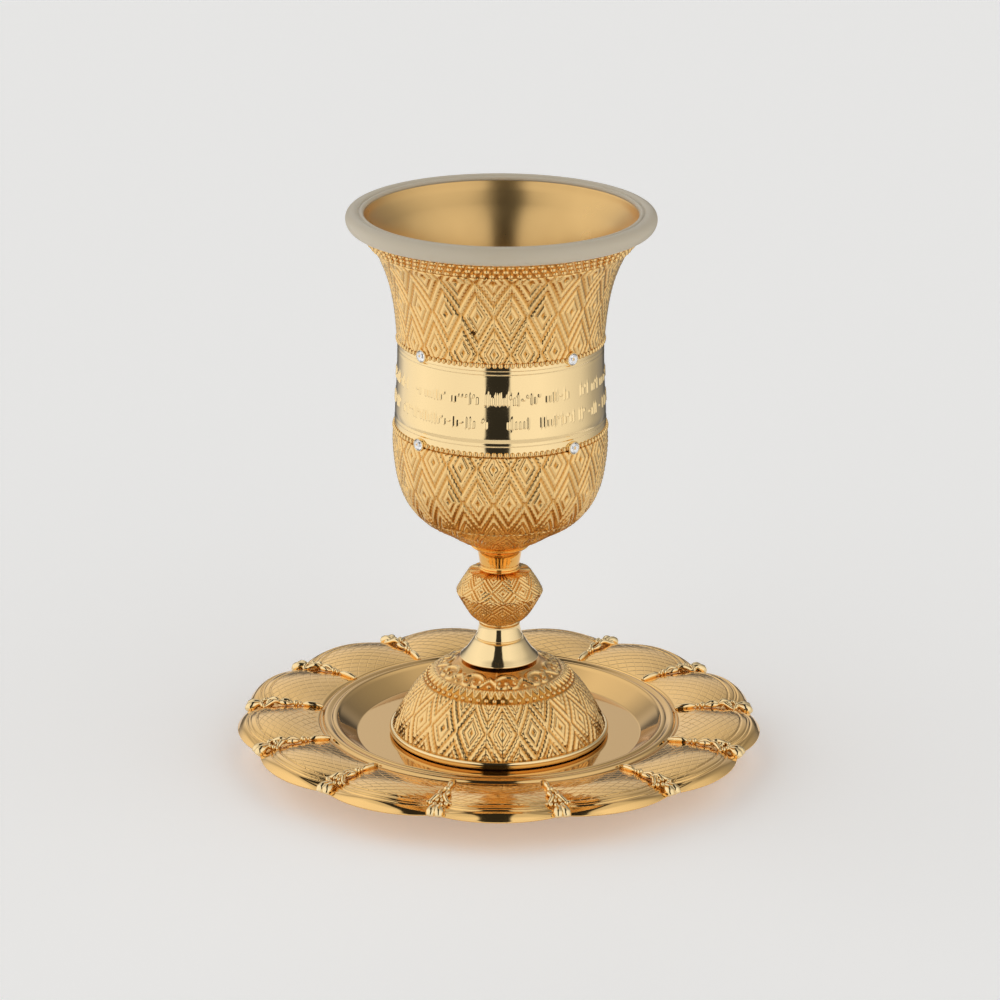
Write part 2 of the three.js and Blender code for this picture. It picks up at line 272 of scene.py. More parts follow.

# %% [markdown]
# Embossed gold plate: zinc cast in an engraved die. The faces are bright and slightly grainy, as
# cast metal is before any wheel touches it. Light that bounces between two golden walls takes
# the tint twice, so grooves look orange by themselves. On top of that, shade is painted into the
# grooves: the colour browns with the relief, which each mesh carries along as a number for every
# corner.

# %% Embossed gold plate
def embossed_gold_plate():
    finish, shader = new_finish("embossed gold plate with painted groove shade", "#F2CA88", 0.2)
    tree = finish.node_tree
    mottled(finish, shader, 0.15, 0.26, 2.0)
    relief = add_node(tree, "Attribute", {"attribute_name": "raised"})
    # Painted shade: the ramp browns the colour where the relief number is low, in the grooves; at 0 it
    # gives the dark of the chip
    groove_shade_and_chip = add_node(tree, "ValToRGB", links={"Fac": relief.outputs["Fac"]})
    groove_shade_and_chip.color_ramp.elements[0].color = linear("#4B3013")
    groove_shade_and_chip.color_ramp.elements[1].color = linear("#F2CA88")
    groove_shade_and_chip.color_ramp.elements.new(0.07).color = linear("#D2923E")
    groove_shade_and_chip.color_ramp.elements.new(0.55).color = linear("#F2CA88")
    tree.links.new(groove_shade_and_chip.outputs["Color"], shader.inputs["Base Color"])
    place = add_node(tree, "TexCoord")
    # Casting grain, a third of a millimetre across
    grain = add_node(tree, "TexNoise", {}, {"Scale": 1000.0 / 0.35, "Detail": 2.0},
                     {"Vector": place.outputs["Object"]})
    bump = add_node(tree, "Bump", {}, {"Strength": 0.25, "Distance": 0.00004}, {"Height": grain})
    tree.links.new(bump.outputs["Normal"], shader.inputs["Normal"])
    return finish


embossed = embossed_gold_plate()

# %% [markdown]
# ## The saucer
#
# The real saucer is pressed from sheet brass and its ornament is cast in. Each petal is a
# shallow cushion that turns down at the rim, and its top is cut with the crossing curved lines
# of a rose engine, a lathe that rocks the work as it turns. The lines are a tenth of a
# millimetre deep, so they are left to the finish, and the cushion itself is mesh.

# %% Sizes of the saucer, in millimetres
PETALS = 13
HALF_PETAL = 180 / PETALS
SAUCER_RADIUS = 67.5
SCALLOP_DEPTH = 2.9
PETAL_START = 46.0
PETAL_CROWN = 1.7
SHEET = 1.4
WELL_FLOOR = 6.05
WELL_RADIUS = 36.7
FOOT_RING = (33.0, 36.0)
# Fine grooves inside the rim: distance from it along the surface, depth and half width
RIM_GROOVES = ((3.3, 0.32, 0.22), (4.1, 0.18, 0.2), (5.9, 0.22, 0.22))
GROOVE_SWING = 2.6

petal_line = smooth_line([
    (0, 9.7), (4, 10.7), (10.5, 11.6), (16, 11.3), (19, 10.6), (20.4, 9.9), (21.5, 8.6),
])


def across_petal(turn):
    """0 in a petal's middle and 1 at a rib."""
    return np.abs((turn + HALF_PETAL) % (2 * HALF_PETAL) - HALF_PETAL) / HALF_PETAL


def rim_radius(across):
    """The scalloped rim."""
    return SAUCER_RADIUS - SCALLOP_DEPTH * across**2.1


def petal_point(along, turn):
    """Radius and height of the petals' upper side. along is 0 at the well's ring, 1 at the rim."""
    across = across_petal(turn)
    reach = along * petal_line["length"][-1]
    radius = np.interp(reach, petal_line["length"], petal_line["radius"])
    height = np.interp(reach, petal_line["length"], petal_line["height"])
    stretch = (rim_radius(across) - PETAL_START) / (SAUCER_RADIUS - PETAL_START)
    valley = PETAL_CROWN * across**2 * np.minimum(1, radius / 10)
    height = height - valley * np.clip((1 - along) / 0.12, 0, 1)
    # The grooves swing inwards beside the ribs
    from_rim = (1 - along) * petal_line["length"][-1]
    for middle, depth, width in RIM_GROOVES:
        away = from_rim - middle - GROOVE_SWING * across**4
        height = height - depth * np.exp(-((away / width) ** 2))
    return PETAL_START + radius * stretch, height


# %% [markdown]
# The petals are brushed by a wheel that runs round the axis, which leaves soft ripples. The
# engine-turned lines are two families of spirals, one leaning each way, and where a spiral
# passes, a narrow dip goes into the bump. There are 91 to a turn, seven to each petal, which
# puts them about four millimetres apart at mid petal.

# %% Brushed gold plate with engine turning
SPIRALS = 91
SPIRAL_LEAN = 3300.0  # radians for each cubic metre of the radius


def engine_turned_gold_plate():
    finish, shader = new_finish("brushed gold plate", "#F4C780", 0.08)
    tree = finish.node_tree
    place = add_node(tree, "TexCoord").outputs["Object"]
    axes = add_node(tree, "SeparateXYZ", links={"Vector": place})
    turn = add_node(tree, "Math", {"operation": "ARCTAN2"}, {},
                    {0: axes.outputs["Y"], 1: axes.outputs["X"]})
    level = add_node(tree, "VectorMath", {"operation": "MULTIPLY"}, {1: (1.0, 1.0, 0.0)}, {0: place})
    radius = add_node(tree, "VectorMath", {"operation": "LENGTH"}, {}, {0: level})
    # The lean of the spirals grows towards the rim
    cube = add_node(tree, "Math", {"operation": "POWER"}, {1: 3.0}, {0: radius})
    lines = []
    for hand in (-1.0, 1.0):
        wind = add_node(tree, "Math", {"operation": "MULTIPLY"}, {1: hand * SPIRAL_LEAN}, {0: cube})
        phase = add_node(tree, "Math", {"operation": "ADD"}, {}, {0: turn, 1: wind})
        count = add_node(tree, "Math", {"operation": "MULTIPLY"}, {1: SPIRALS / (2 * math.pi)},
                         {0: phase})
        cycle = add_node(tree, "Math", {"operation": "PINGPONG"}, {1: 0.5}, {0: count})
        lines.append(add_node(tree, "MapRange", {"interpolation_type": "SMOOTHSTEP"},
                              {"From Min": 0.0, "From Max": 0.075}, {"Value": cycle}))
    both = add_node(tree, "Math", {"operation": "MULTIPLY"}, {}, {0: lines[0], 1: lines[1]})
    # The lines stop short of the well's ring and of the turned-down rim
    inside = add_node(tree, "MapRange", {}, {"From Min": 0.0465, "From Max": 0.0475}, {"Value": radius})
    outside = add_node(tree, "MapRange", {}, {"From Min": 0.0630, "From Max": 0.0622}, {"Value": radius})
    field = add_node(tree, "Math", {"operation": "MULTIPLY"}, {}, {0: inside, 1: outside})
    lined = add_node(tree, "Mix", {}, {"A": 1.0}, {"Factor": field, "B": both})
    bump = add_node(tree, "Bump", {}, {"Strength": 0.34, "Distance": 0.0001}, {"Height": lined})
    # The ripples of the wheel, 1.2 mm apart
    rings = add_node(tree, "TexNoise", {"noise_dimensions": "1D"},
                     {"Scale": 1000.0 / 1.2, "Detail": 1.0}, {"W": radius})
    brushed = add_node(tree, "Bump", {}, {"Strength": 1.0, "Distance": 0.00004},
                       {"Height": rings, "Normal": bump})
    tree.links.new(brushed.outputs["Normal"], shader.inputs["Normal"])
    mottled(finish, shader, 0.06, 0.11, 9.0)
    return finish


engine_turned = engine_turned_gold_plate()

# %% Petals, from the well's ring over the rim and back underneath
def petal_rows():
    turns = turns_of(PETALS * 54)
    rows = []
    for along in np.concatenate([np.linspace(0, 0.5, 13), np.linspace(0.508, 1, 64)]):
        rows.append(spun(*petal_point(along, turns), turns))
    rim = rim_radius(across_petal(turns))
    for inwards, height in ((0.15, 8.25), (0.5, 8.2), (1.2, 8.6)):
        rows.append(spun(rim - inwards, height, turns))
    return [*rows, *plain_rows([(62, 9.0), (56, 9.9), (52, 9.4), (46, 8.3)], turns)]


petals = round_skin(petal_rows(), closed=True)
make_piece("saucer_petals", petals, engine_turned, ["saucer"])

# %% [markdown]
# Inside the petals lies a raised ring, and inside that the well, both buffed to a mirror. The
# well's floor is flat so that the cup stands on it. The saucer itself stands on a low ring under
# the well, which the photograph doesn't show. It is kept plain.

# %% Well, raised ring and foot ring
def well_skin():
    turns = turns_of(192)
    top = smooth_line([
        (41.2, 9.66), (41.45, 9.9), (41.8, 10.25), (42.3, 10.42), (42.8, 10.3), (43.2, 10.05),
        (43.7, 10.2), (44.4, 10.4), (45.1, 10.2), (45.6, 9.6), (46.05, 9.62),
    ])
    lengths = np.linspace(0, top["length"][-1], 56)
    # Two close rows at the fold keep its corner crisp
    wall = [(36.35, WELL_FLOOR), (36.5, WELL_FLOOR), (36.62, 6.09), (36.8, 6.22), (39.0, 7.94),
            (41.0, 9.5)]
    upper = [(0.6 * WELL_RADIUS, WELL_FLOOR), *wall, *zip(*on_line(top, lengths))]
    ring_in, ring_out = FOOT_RING
    under = [
        (46.05, 8.3), (43, 8.4), (ring_out + 0.6, WELL_FLOOR - SHEET), (ring_out + 0.1, 4.2),
        (ring_out, 0.4), (ring_out - 0.4, 0.0), (ring_in + 0.4, 0.0), (ring_in, 0.4),
        (ring_in - 0.2, 4.2), (ring_in - 0.7, WELL_FLOOR - SHEET), (20, WELL_FLOOR - SHEET),
    ]
    return round_skin(plain_rows(upper + under, turns))


make_piece("saucer_well", well_skin(), saucer_polished)

# %% [markdown]
# Between the petals run thirteen ribs, each cast as a small ornament: a rod, a pair of beads, a
# ribbon that parts into two limbs, buds and beads, and two drops that hang over the rim. They
# are built from two forms, a bead and a swept limb, drawn once with +X along the rib and then
# set round the axis thirteen times.

# %% Beads and limbs
def bead(place, radii, lean=0.0, sides=12, rings=8):
    """An ellipsoid at (outwards, sideways, up) with its own half sizes, turned in plan."""
    lift = np.linspace(0, np.pi, rings + 1)[1:-1]
    round_turns = np.linspace(0, 2 * np.pi, sides, endpoint=False)
    x = np.outer(np.sin(lift), np.cos(round_turns)) * radii[0]
    y = np.outer(np.sin(lift), np.sin(round_turns)) * radii[1]
    z = np.outer(np.cos(lift), np.ones(sides)) * radii[2]
    c, s = math.cos(lean), math.sin(lean)
    rows = np.stack([x * c - y * s, x * s + y * c, z], -1) + np.array(place)
    corners, triangles = round_skin(rows)
    corners[-2] = np.array(place) + [0, 0, radii[2]]
    corners[-1] = np.array(place) - [0, 0, radii[2]]
    return corners, triangles


def limb(points, radii, sides=8, steps=20):
    """A tapering rod along a curve through (outwards, sideways, up) points."""
    p = np.array(points, float)
    t = np.linspace(0, 1, len(p))
    fine = np.linspace(0, 1, steps)
    fit = [np.polynomial.Polynomial.fit(t, p[:, k], min(3, len(p) - 1))(fine) for k in range(3)]
    path = np.stack(fit, -1)
    thick = np.interp(fine, np.linspace(0, 1, len(radii)), radii)
    ahead = np.gradient(path, axis=0)
    ahead /= np.linalg.norm(ahead, axis=1)[:, None]
    side = np.cross(ahead, [0, 0, 1.0])
    side /= np.linalg.norm(side, axis=1)[:, None]
    up = np.cross(side, ahead)
    around = np.linspace(0, 2 * np.pi, sides, endpoint=False)
    c, s = np.cos(around)[:, None], np.sin(around)[:, None]
    ring = side[:, None] * c + up[:, None] * s
    return round_skin(path[:, None] + ring * thick[:, None, None])


def valley_height(radius):
    """Height of the valley between two petals, where a rib lies."""
    across, up = petal_point(np.linspace(0, 1, 200), np.full(200, HALF_PETAL))
    return float(np.interp(radius, across, up))


def set_round(skin, turns):
    """Copies of a skin, drawn with +X outwards, set round the axis."""
    corners, triangles = skin
    copies = []
    for angle in np.radians(turns):
        outwards = np.array([math.sin(angle), -math.cos(angle), 0])
        sideways = np.array([math.cos(angle), math.sin(angle), 0])
        placed = corners[:, :1] * outwards + corners[:, 1:2] * sideways
        placed[:, 2] = corners[:, 2]
        copies.append((placed, triangles))
    return joined(copies)


# %% One rib, and thirteen of them
LOWEST_VALLEY = 65.5  # further out a rib keeps this radius' height


def over(radius, side, lift):
    """A place over the valley between two petals."""
    return radius, side, valley_height(min(radius, LOWEST_VALLEY)) + lift


def rib_parts():
    rod = [over(46, 0, 0.3), over(48, 0, 0.5), over(50, 0, 0.55), over(51.4, 0, 0.4)]
    parts = [limb(rod, [0.5, 0.8, 0.75, 0.25])]
    parts.append(bead(over(52.0, 0, 0.55), (0.55, 0.65, 0.6)))
    parts.append(bead(over(53.2, 0, 0.7), (0.75, 0.85, 0.8)))
    for side in (-1, 1):
        # A bud of two leaves with a slit between them
        leaf = [over(53.9, 0.2 * side, 0.6), over(55.2, 0.9 * side, 0.9),
                over(56.4, 0.95 * side, 1.0), over(57.9, 0.35 * side, 0.9)]
        parts.append(limb(leaf, [0.3, 0.62, 0.65, 0.35]))
        # The ribbon's limb leaves the middle, curls out and meets the petal's edge line
        ribbon = [over(57.6, 0.4 * side, 1.1), over(59.0, 1.0 * side, 1.5),
                  over(60.2, 1.8 * side, 1.35), over(61.2, 3.1 * side, 1.0)]
        parts.append(limb(ribbon, [0.4, 0.62, 0.6, 0.3]))
        parts.append(bead(over(60.2, 0.55 * side, 1.3), (0.9, 0.5, 0.7), 0.2 * side))
        parts.append(bead(over(61.6, 1.95 * side, 1.1), (0.65, 0.6, 0.65)))
        parts.append(bead(over(62.2, 0.75 * side, 1.25), (0.6, 0.6, 0.65)))
        # Two drops lie close together and flare into one bell that hangs over the rim
        drop = [over(62.4, 0.35 * side, 1.1), over(63.6, 0.6 * side, 1.15),
                over(64.8, 0.9 * side, 0.8), over(65.7, 1.05 * side, -0.1)]
        parts.append(limb(drop, [0.55, 0.85, 1.25, 1.4, 0.95], sides=12))
    parts.append(bead(over(58.9, 0, 1.25), (0.7, 0.45, 0.6)))
    return parts


ribs = set_round(joined(rib_parts()), turns_of(PETALS, HALF_PETAL))
make_piece("saucer_ribs", ribs, polished)

# %% [markdown]
# ## The diamonds
#
# Sleeve, knop and foot carry the same pattern: rows of nested diamonds, each a boss with a dark
# slot in it, a closed ridge round that, a fine dotted line, and a ridge shared with the next.
# The ridges are strings of small grains. All of it depends on one number, the distance from a
# diamond's middle measured along both diagonals together, so one function gives the relief
# everywhere. The grid is laid so that the ridges run exactly through its points, and each cell's
# diagonal follows them. That keeps the ridges crisp with far fewer triangles.

# %% Relief of the nested diamonds
RELIEF = 0.42
# Painted shade: the darkest that a groove's colour is painted
GROOVE_SHADE_LIMIT = 0.08  # a groove is never browner than this
# Height of the relief, 0 to 1, by the distance from the middle as a share of the outer ridge's
DIAMOND_SHARES = [0, 0.08, 0.14, 0.2, 0.33, 0.39, 0.44, 0.5, 0.56, 0.64, 0.7, 0.75, 0.8, 0.86, 0.93,
                  1.0]
DIAMOND_HEIGHTS = [0, 0, 0.75, 1.0, 0.9, 0.15, 0.1, 0.8, 1.0, 0.95, 0.35, 0.1, 0.4, 0.25, 0.9, 1.0]
RIDGE_SHARES = (0.6, 1.0)
FINE_RIDGE = 0.8
RIDGE_WIDTH = 0.07
DOT_WIDTH = 0.05
GRAIN_DEPTH = 0.35
GRAIN_STEPS = 3  # grid steps from one grain of a ridge to the next


def diamond_relief(column, row, half_wide, half_tall):
    """Relief from 0 to 1 at grid steps counted from the middle of a main diamond."""
    nearest = np.full(np.broadcast(column, row).shape, 1e9)
    along_ridge = np.zeros(nearest.shape)
    for shift in (0, 1):
        wide = np.abs((column + shift * half_wide + half_wide) % (2 * half_wide) - half_wide)
        tall = np.abs((row + shift * half_tall + half_tall) % (2 * half_tall) - half_tall)
        steps = wide + tall
        closer = steps < nearest
        nearest = np.where(closer, steps, nearest)
        along_ridge = np.where(closer, tall - wide, along_ridge)
    outer = (half_wide + half_tall) / 2
    share = nearest / outer
    height = np.interp(share, DIAMOND_SHARES, DIAMOND_HEIGHTS)
    grains = 0.5 + 0.5 * np.cos(np.pi * (along_ridge - nearest % 2) / GRAIN_STEPS)
    on_ridge = sum(np.exp(-(((share - ridge) / RIDGE_WIDTH) ** 2)) for ridge in RIDGE_SHARES)
    dots = np.exp(-(((share - FINE_RIDGE) / DOT_WIDTH) ** 2))
    return height - GRAIN_DEPTH * on_ridge * (1 - grains) - GRAIN_DEPTH * dots * grains


def diamond_diagonals(column, row, half_wide, half_tall):
    """Which way the cells' diagonals run, so that they lie along the ridges."""
    wide = (column + 0.5) % (2 * half_wide) > half_wide
    tall = (row + 0.5) % (2 * half_tall) > half_tall
    return wide == tall


def diamond_grid(middle, step, ends, columns, halves):
    """Lengths of the rows between two ends of a line, and relief and diagonals on them.

    middle is the length at which a diamond has its middle, step the length between two rows.
    """
    first, last = math.ceil((ends[0] - middle) / step), math.floor((ends[1] - middle) / step)
    rows = np.arange(first, last + 1)[:, None]
    relief = diamond_relief(columns, rows, *halves)
    return middle + rows * step, relief, diamond_diagonals(columns, rows, *halves)


# %% [markdown]
# ## The sleeve
#
# The sleeve is the cup's outer bowl, cast in two halves whose seam still shows as a thin line
# near the front. It has diamonds above and below, and a polished band between two rows of
# beads. It is drawn in five pieces, so that each stays a light mesh, and they meet where a bead
# row or a ridge hides the joint.

# %% Sizes of the sleeve, in millimetres
DIAMONDS_ROUND = 21
FIRST_DIAMOND = 5.0  # turn of the first one, in degrees
SLEEVE_HALVES = (21, 28)  # grid steps in half a diamond, across and up
SLEEVE_STEP = 9.85 / SLEEVE_HALVES[1]  # half a diamond is 9.85 mm tall
SLEEVE_WALL = 1.4
SEAM_TURN = -3.0
CHIP = (-14.4, 120.4, 0.75)  # turn in degrees, height and size of a dark chip
CHIP_RADIUS = 27.0
BAND = (91.0, 110.4)
BEAD_ROWS = (89.2, 111.9)
# Lowest and highest point of each ring of diamonds, and a height where some have their middles
UPPER_RING = (112.3, 135.4, 114.8)
LOWER_RING = (66.4, 88.6, 85.6)

sleeve_line = smooth_line([
    (6.2, 57.5), (9.9, 58.7), (14.8, 61.7), (19.8, 64.7), (23.7, 69.2), (25.8, 74.2), (26.9, 80.2),
    (27.25, 85.7), (26.8, 92), (26.1, 107), (26.2, 113), (27.2, 122), (28.7, 128.2), (31.2, 134.2),
    (33.9, 138), (36.3, 140.5),
])


def seam(turns, width=0.45, height=0.12):
    """The parting line left where the two halves of the die met."""
    away = (turns - SEAM_TURN + 180) % 360 - 180
    return height * np.exp(-((away / width) ** 2))


def sleeve_ring(low, high, middle_height):
    """A closed ring of the sleeve between two heights, with diamonds outside, and its shades."""
    ends = length_at(sleeve_line, low), length_at(sleeve_line, high)
    middle = length_at(sleeve_line, middle_height)
    turns = turns_of(DIAMONDS_ROUND * 2 * SLEEVE_HALVES[0], FIRST_DIAMOND)
    columns = np.arange(len(turns)) + SLEEVE_HALVES[0]
    lengths, relief, diagonals = diamond_grid(middle, SLEEVE_STEP, ends, columns, SLEEVE_HALVES)
    radius, height = on_line(sleeve_line, lengths, RELIEF * (relief - 1) + seam(turns))
    backs = [on_line(sleeve_line, length, -SLEEVE_WALL)
             for length in np.linspace(lengths[-1, 0], lengths[0, 0], 8)]
    inside = plain_rows(backs, turns)
    rising = np.vstack([diagonals, np.ones(inside.shape[:2], bool)])
    skin = round_skin([*spun(radius, height, turns), *inside], closed=True, rising=rising)
    # A chip in the plating shows dark
    across = (turns - 360 * (turns > 180) - CHIP[0]) * math.radians(1) * CHIP_RADIUS
    chipped = np.hypot(across, height - CHIP[1]) < CHIP[2]
    return skin, np.where(chipped, 0, np.maximum(relief, GROOVE_SHADE_LIMIT))


skin, relief = sleeve_ring(*UPPER_RING)
make_piece("sleeve_upper", skin, embossed, ["sleeve"], raised=relief)
skin, relief = sleeve_ring(*LOWER_RING)
make_piece("sleeve_lower", skin, embossed, raised=relief)

# %% Bottom of the sleeve, which tucks in over the neck
def sleeve_bottom():
    """Half as many columns as the ring above it, up to that ring's first row."""
    middle = length_at(sleeve_line, LOWER_RING[2])
    ends = 0.2, length_at(sleeve_line, LOWER_RING[0]) + SLEEVE_STEP
    turns = turns_of(DIAMONDS_ROUND * SLEEVE_HALVES[0], FIRST_DIAMOND)
    columns = 2 * np.arange(len(turns)) + SLEEVE_HALVES[0]
    lengths, relief, _ = diamond_grid(middle, SLEEVE_STEP, ends, columns, SLEEVE_HALVES)
    # The pattern fades over the last four millimetres
    out = RELIEF * (relief - 1) * np.clip(lengths / 4.0, 0, 1)
    outside = spun(*on_line(sleeve_line, lengths, out), turns)
    inside = plain_rows([(19.9, 67.0), (16.6, 65.0), (12, 62.6), (7, 60.6)], turns)
    return round_skin([*outside, *inside]), np.maximum(relief, GROOVE_SHADE_LIMIT)


skin, relief = sleeve_bottom()
make_piece("sleeve_bottom", skin, embossed, raised=relief)

# %% [markdown]
# The band is the one smooth place on the sleeve, and two rows of shallow raised strokes run
# round it: uprights of two lengths, dots and dashes, each by itself. Such small relief could be
# bump, but the strokes stand a quarter of a millimetre out and catch the light at their edges.
# So each is a low bar with soft sides, raised out of the same grid as the band. A seeded
# generator picks the strokes, and the band comes out the same each time.

# %% Strokes of the band
STROKE_ROWS = (103.2, 97.1)
STROKE_TALL = 2.3
STROKE_HALF_WIDTH = 0.2
STROKE_HEIGHT = 0.26
STROKE_CHANCES = [0.42, 0.28, 0.15, 0.15]
# Of each kind: shifts to the right and up, half lengths across and up. Across is in degrees.
STROKE_KINDS = [
    (0.0, 0.0, 0.0, STROKE_TALL / 2),  # tall upright
    (0.0, -0.35, 0.15, STROKE_TALL / 3.4),  # short upright
    (0.0, 0.75, 0.2, 0.2),  # dot
    (0.5, 0.0, 0.6, 0.0),  # dash
]
BAND_RADIUS = 26.5
generator = np.random.default_rng(13)


def stroke_list():
    """Strokes as (turn, height, half length across in degrees, half length up)."""
    strokes = []
    for row, middle in enumerate(STROKE_ROWS):
        turn = -178.0
        while turn < 178:
            in_gap = row == 1 and -7 < turn < 4
            if in_gap or generator.random() < 0.12:
                turn += 2.6
                continue
            right, up, half_across, half_up = STROKE_KINDS[generator.choice(4, p=STROKE_CHANCES)]
            strokes.append((turn + right, middle + up, half_across, half_up))
            turn += 2 * right + 1.9 + 0.35 * generator.random()
    return strokes


def stroke_relief(turns, heights):
    """How far the strokes stand out at each point of the band's grid."""
    lift = np.zeros((len(heights), len(turns)))
    for turn, height, half_across, half_up in stroke_list():
        near = np.where(np.abs((turns - turn + 180) % 360 - 180) < half_across + 2)[0]
        rows = np.where(np.abs(heights - height) < half_up + 1.2)[0]
        across = np.abs((turns[near] - turn + 180) % 360 - 180) - half_across
        across = np.maximum(across, 0) * math.radians(1) * BAND_RADIUS
        up = np.maximum(np.abs(heights[rows] - height) - half_up, 0)
        away = np.hypot(across[None, :], up[:, None])
        block = np.ix_(rows, near)
        lift[block] = np.maximum(lift[block], np.clip(1.6 - away / STROKE_HALF_WIDTH, 0, 1))
    return STROKE_HEIGHT * lift


# %% The band
def band_skin():
    low, high = BEAD_ROWS[0] - 0.6, BEAD_ROWS[1] + 0.4
    # Rows lie close together at strokes and grooves, and far apart between them
    close = [(middle - 1.5, middle + 1.5) for middle in STROKE_ROWS]
    close += [(BAND[0] - 0.1, BAND[0] + 1.5), (BAND[1] - 1.5, BAND[1] + 0.3)]
    rest = [low, low + 0.4, 94, 94.8, 99.2, 100.2, 101.2, 105.5, 107, 108.5, high - 0.4, high]
    heights = np.concatenate([*(np.arange(start, end, 0.16) for start, end in close), rest])
    heights = np.unique(np.round(heights, 3))
    turns = turns_of(800)
    groove = np.zeros(len(heights))
    for middle in (BAND[0] + 0.1, BAND[0] + 1.1, BAND[1] - 1.1, BAND[1] - 0.1):
        groove += 0.22 * np.exp(-(((heights - middle) / 0.2) ** 2))
    bed = np.where((heights < BAND[0] - 0.5) | (heights > BAND[1] + 0.5), 0.45, 0.1)
    out = stroke_relief(turns, heights) - (groove + bed)[:, None] + 0.08 * seam(turns)
    lengths = np.array([length_at(sleeve_line, height) for height in heights])
    outside = spun(*on_line(sleeve_line, lengths[:, None], out), turns)
    backs = [on_line(sleeve_line, length, -SLEEVE_WALL)
             for length in lengths[[-1, len(lengths) // 2, 0]]]
    return round_skin([*outside, *plain_rows(backs, turns)], closed=True)


make_piece("sleeve_band", band_skin(), polished)

# %% [markdown]
# The upper edge of the sleeve flares out under the soft ring, and three rows of grains run
# round it. Goldsmiths call such rows milling. Two more frame the band. They are real beads
# here: one bead is drawn for each row, and then set round the sleeve.

# %% Lip of the sleeve and the rows of beads
LIP_SIDES = 180


def lip_skin():
    lengths = np.linspace(length_at(sleeve_line, UPPER_RING[1] - 0.1), sleeve_line["length"][-1], 14)
    outer = [on_line(sleeve_line, length, -RELIEF) for length in lengths]
    inner = [on_line(sleeve_line, length, -SLEEVE_WALL) for length in lengths[::-3]]
    return round_skin(plain_rows(outer + inner, turns_of(LIP_SIDES)), closed=True)


def bead_row(height, count, radius, tall, sink=0.35, first=0.0):
    """A row of beads round the sleeve, each sunk into it a little."""
    out, up = on_line(sleeve_line, length_at(sleeve_line, height), -sink)
    # A quarter turn points a corner of each bead at its neighbour
    drawn = bead((out, 0, up), (radius, radius, tall), math.pi / 2, sides=10, rings=6)
    return set_round(drawn, turns_of(count, first))


# The lower ten rows of the lip lie behind the beads and are painted darker there, as painted shade
make_piece("sleeve_lip", lip_skin(), embossed, raised=np.full(10 * LIP_SIDES, 0.35))
borders = [
    bead_row(139.2, 90, 0.95, 0.6, sink=0.25),
    bead_row(137.7, 90, 0.85, 0.72, first=2.0),
    bead_row(136.3, 90, 0.8, 0.72),
]
make_piece("rim_beads", joined(borders), embossed)
band_beads = joined([bead_row(height, 110, 0.66, 0.7) for height in BEAD_ROWS[::-1]])
make_piece("band_beads", band_beads, embossed)

# %% [markdown]
# ## The foot
#
# The foot is a hollow dome. Under the cone comes a ring of scrolls, then a row of tongues, a
# row of beads and one tall row of nineteen diamonds, and it ends in a polished rolled edge. The
# scrolls are drawn by distance: each point of the grid asks how far it lies from the nearest
# arc, and near an arc it rises.

# %% Sizes of the foot, in millimetres
FOOT_DIAMONDS = 19
FOOT_FIRST_DIAMOND = 2.2
FOOT_HALVES = (21, 27)
FOOT_STEP = 9.4 / FOOT_HALVES[1]
CUP_BASE = WELL_FLOOR + 0.3
SCROLLS_ROUND = 10
TONGUES_ROUND = 54
FOOT_BEADS = 56
# Lengths along the dome, counted from the cone
TONGUES_START = 7.2
BEADS_AT = 10.3
DIAMONDS_START = 11.2
DIAMONDS_MIDDLE = 19.1

foot_line = smooth_line([
    (27.6, 8), (26.3, 11), (24, 15), (21.2, 19), (17, 23), (13, 25), (10.1, 26.3),
])
FOOT_LENGTH = foot_line["length"][-1]


def ridge(distance, half_width=0.55):
    """Height from 0 to 1 by the distance from a ridge's middle line, with soft sides."""
    return np.clip(1.3 - distance / half_width, 0, 1)


def arc_ridge(x, y, centre, radii, start, end):
    """A raised arc of an ellipse. Angles are in degrees, anticlockwise from +x."""
    dx, dy = (x - centre[0]) / radii[0], (y - centre[1]) / radii[1]
    angle = np.degrees(np.arctan2(dy, dx)) % 360
    distance = np.abs(np.hypot(dx, dy) - 1) * min(radii)
    within = (angle - start) % 360 <= (end - start) % 360
    return np.where(within, ridge(distance), 0)


def scroll_relief(turns, from_cone, radius):
    """Scrolls round the cone: an arch over two curls, and a lozenge between neighbours."""
    period = 360 / SCROLLS_ROUND
    across = (turns - 8.0 + period / 2) % period - period / 2
    x = across * math.radians(1) * radius
    y = -from_cone
    half = period / 2 * math.radians(1) * radius
    lift = arc_ridge(x, y, (0, -5.0), (3.0, 3.0), 0, 180)
    for side in (-1, 1):
        start, end = (200, 80) if side > 0 else (100, 340)
        lift = np.maximum(lift, arc_ridge(x, y, (1.5 * side, -5.1), (1.1, 1.0), start, end))
        slope = np.abs((half - side * x) * 0.75 + (y + 3.2)) * 0.8
        lift = np.maximum(lift, np.where((y > -5.4) & (side * x > half - 2.3), ridge(slope), 0))
    lift = np.maximum(lift, ridge(np.hypot(x, (y + 4.6) / 1.6), 0.5))
    lift = np.maximum(lift, ridge(np.hypot(half - np.abs(x), y + 5.6), 0.5))
    return lift


def tongue_relief(turns, from_cone):
    """A row of pointed tongues, each with a slit down its middle."""
    period = 360 / TONGUES_ROUND
    across = np.abs((turns + period / 2) % period - period / 2) / (period / 2)
    drop = (from_cone - TONGUES_START) / 2.4
    inside = (drop > 0) & (drop < 1)
    full = np.clip(1 + (1 - drop - across) / 0.25, 0, 1)
    slit = 0.5 * np.exp(-((across / 0.16) ** 2)) * (drop < 0.7)
    return np.where(inside, full - slit, 0)


